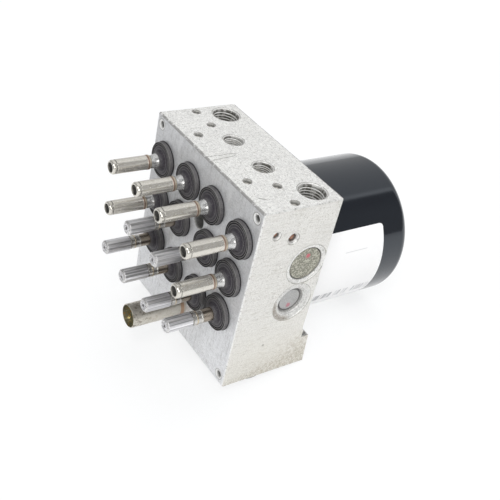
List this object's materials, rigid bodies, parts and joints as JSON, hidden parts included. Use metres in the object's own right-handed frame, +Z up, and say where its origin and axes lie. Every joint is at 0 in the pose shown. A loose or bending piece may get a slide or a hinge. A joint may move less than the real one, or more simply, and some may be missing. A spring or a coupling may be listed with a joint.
{
  "type": "abs brake module",
  "caption": "Hydraulic block of an anti-lock brake system with bare solenoid valve stems, a pressure sensor tube and a round pump motor on its back.",
  "frame": {"origin": "middle of the block's underside, between the two bracket holes", "axes": "+Z up through the pipe ports, +Y from the valve face towards the motor, +X to the right"},
  "size_m": [0.094, 0.1484, 0.106],
  "materials": {
    "block_aluminium": "milled, light grey",
    "nickel_sleeve": "turned, bright",
    "dark_steel": "turned, darker",
    "soft_iron": "turned",
    "black_rubber": "matt",
    "sensor_steel": "drawn, satin",
    "circuit_board": "satin",
    "gold_contact": "polished",
    "plug_aluminium": "pressed, dull",
    "bright_steel": "ground",
    "copper_ball": "dull",
    "spring_steel": "drawn wire",
    "cap_aluminium": "drawn, satin",
    "gloss_black_can": "gloss black",
    "black_moulding": "moulded",
    "ferrite": "matt, sintered",
    "carbon": "matt, pressed",
    "white_paper": "paper",
    "laminated_iron": "stacked sheets",
    "copper": "bare metal",
    "bearing_steel": "ground"
  },
  "bodies": {
    "unit": {"hydraulic_block": "block_aluminium", "inlet_valve_sleeve_1": "nickel_sleeve", "inlet_valve_sleeve_2": "nickel_sleeve", "inlet_valve_sleeve_3": "nickel_sleeve", "inlet_valve_sleeve_4": "nickel_sleeve", "inlet_valve_sleeve_5": "nickel_sleeve", "inlet_valve_sleeve_6": "nickel_sleeve", "outlet_valve_sleeve_1": "dark_steel", "outlet_valve_sleeve_2": "dark_steel", "outlet_valve_sleeve_3": "dark_steel", "outlet_valve_sleeve_4": "dark_steel", "outlet_valve_sleeve_5": "dark_steel", "outlet_valve_sleeve_6": "dark_steel", "top_row_seals": "black_rubber", "middle_row_seals": "black_rubber", "bottom_row_seals": "black_rubber", "pressure_sensor_sleeve": "sensor_steel", "sensor_circuit_board": "circuit_board", "sensor_contacts": "gold_contact", "pump_plug_right": "plug_aluminium", "pump_plug_left": "plug_aluminium", "damper_plug_right": "plug_aluminium", "damper_plug_left": "plug_aluminium", "top_sealing_balls": "bright_steel", "motor_screws": "bright_steel", "side_sealing_balls": "copper_ball", "pump_spring_right": "spring_steel", "pump_spring_left": "spring_steel", "accumulator_spring_right": "spring_steel", "accumulator_spring_left": "spring_steel", "accumulator_cap_right": "cap_aluminium", "accumulator_cap_left": "cap_aluminium", "motor_can": "gloss_black_can", "motor_end_plate": "black_moulding", "motor_magnets": "ferrite", "motor_brushes": "carbon", "motor_label": "white_paper", "front_bearing": "bearing_steel", "rear_bearing": "bearing_steel"},
    "rotor": {"rotor_shaft": "bright_steel", "eccentric_bearing": "bearing_steel", "armature_core": "laminated_iron", "armature_windings": "copper", "commutator": "copper"},
    "inlet_valve_1": {"inlet_valve_plunger_1": "soft_iron"},
    "outlet_valve_1": {"outlet_valve_plunger_1": "soft_iron"},
    "inlet_valve_2": {"inlet_valve_plunger_2": "soft_iron"},
    "outlet_valve_2": {"outlet_valve_plunger_2": "soft_iron"},
    "inlet_valve_3": {"inlet_valve_plunger_3": "soft_iron"},
    "outlet_valve_3": {"outlet_valve_plunger_3": "soft_iron"},
    "inlet_valve_4": {"inlet_valve_plunger_4": "soft_iron"},
    "outlet_valve_4": {"outlet_valve_plunger_4": "soft_iron"},
    "inlet_valve_5": {"inlet_valve_plunger_5": "soft_iron"},
    "outlet_valve_5": {"outlet_valve_plunger_5": "soft_iron"},
    "inlet_valve_6": {"inlet_valve_plunger_6": "soft_iron"},
    "outlet_valve_6": {"outlet_valve_plunger_6": "soft_iron"},
    "pump_right": {"pump_piston_right": "bright_steel"},
    "accumulator_right": {"accumulator_piston_right": "cap_aluminium"},
    "pump_left": {"pump_piston_left": "bright_steel"},
    "accumulator_left": {"accumulator_piston_left": "cap_aluminium"}
  },
  "joints": [
    {"name": "rotor_spin", "type": "hinge", "parent": "unit", "child": "rotor", "pos_m": [0, 0, 0.0459], "axis": [0, 1, 0], "continuous": true},
    {"name": "inlet_valve_1_stroke", "type": "slide", "parent": "unit", "child": "inlet_valve_1", "axis": [0, 1, 0], "range_m": [0, 0.00025], "stiffness_N_per_m": 2000, "springref_m": -0.001},
    {"name": "outlet_valve_1_stroke", "type": "slide", "parent": "unit", "child": "outlet_valve_1", "axis": [0, -1, 0], "range_m": [0, 0.00025], "stiffness_N_per_m": 2000, "springref_m": -0.001},
    {"name": "inlet_valve_2_stroke", "type": "slide", "parent": "unit", "child": "inlet_valve_2", "axis": [0, 1, 0], "range_m": [0, 0.00025], "stiffness_N_per_m": 2000, "springref_m": -0.001},
    {"name": "outlet_valve_2_stroke", "type": "slide", "parent": "unit", "child": "outlet_valve_2", "axis": [0, -1, 0], "range_m": [0, 0.00025], "stiffness_N_per_m": 2000, "springref_m": -0.001},
    {"name": "inlet_valve_3_stroke", "type": "slide", "parent": "unit", "child": "inlet_valve_3", "axis": [0, 1, 0], "range_m": [0, 0.00025], "stiffness_N_per_m": 2000, "springref_m": -0.001},
    {"name": "outlet_valve_3_stroke", "type": "slide", "parent": "unit", "child": "outlet_valve_3", "axis": [0, -1, 0], "range_m": [0, 0.00025], "stiffness_N_per_m": 2000, "springref_m": -0.001},
    {"name": "inlet_valve_4_stroke", "type": "slide", "parent": "unit", "child": "inlet_valve_4", "axis": [0, 1, 0], "range_m": [0, 0.00025], "stiffness_N_per_m": 2000, "springref_m": -0.001},
    {"name": "outlet_valve_4_stroke", "type": "slide", "parent": "unit", "child": "outlet_valve_4", "axis": [0, -1, 0], "range_m": [0, 0.00025], "stiffness_N_per_m": 2000, "springref_m": -0.001},
    {"name": "inlet_valve_5_stroke", "type": "slide", "parent": "unit", "child": "inlet_valve_5", "axis": [0, 1, 0], "range_m": [0, 0.00025], "stiffness_N_per_m": 2000, "springref_m": -0.001},
    {"name": "outlet_valve_5_stroke", "type": "slide", "parent": "unit", "child": "outlet_valve_5", "axis": [0, -1, 0], "range_m": [0, 0.00025], "stiffness_N_per_m": 2000, "springref_m": -0.001},
    {"name": "inlet_valve_6_stroke", "type": "slide", "parent": "unit", "child": "inlet_valve_6", "axis": [0, 1, 0], "range_m": [0, 0.00025], "stiffness_N_per_m": 2000, "springref_m": -0.001},
    {"name": "outlet_valve_6_stroke", "type": "slide", "parent": "unit", "child": "outlet_valve_6", "axis": [0, -1, 0], "range_m": [0, 0.00025], "stiffness_N_per_m": 2000, "springref_m": -0.001},
    {"name": "pump_right_stroke", "type": "slide", "parent": "unit", "child": "pump_right", "axis": [1, 0, 0], "range_m": [0, 0.0016], "stiffness_N_per_m": 1500, "springref_m": -0.003, "deforming": ["pump_spring_right"]},
    {"name": "accumulator_right_stroke", "type": "slide", "parent": "unit", "child": "accumulator_right", "axis": [0, 0, -1], "range_m": [0, 0.005], "stiffness_N_per_m": 1200, "springref_m": -0.006, "deforming": ["accumulator_spring_right"]},
    {"name": "pump_left_stroke", "type": "slide", "parent": "unit", "child": "pump_left", "axis": [-1, 0, 0], "range_m": [0, 0.0016], "stiffness_N_per_m": 1500, "springref_m": -0.003, "deforming": ["pump_spring_left"]},
    {"name": "accumulator_left_stroke", "type": "slide", "parent": "unit", "child": "accumulator_left", "axis": [0, 0, -1], "range_m": [0, 0.005], "stiffness_N_per_m": 1200, "springref_m": -0.006, "deforming": ["accumulator_spring_left"]}
  ]
}
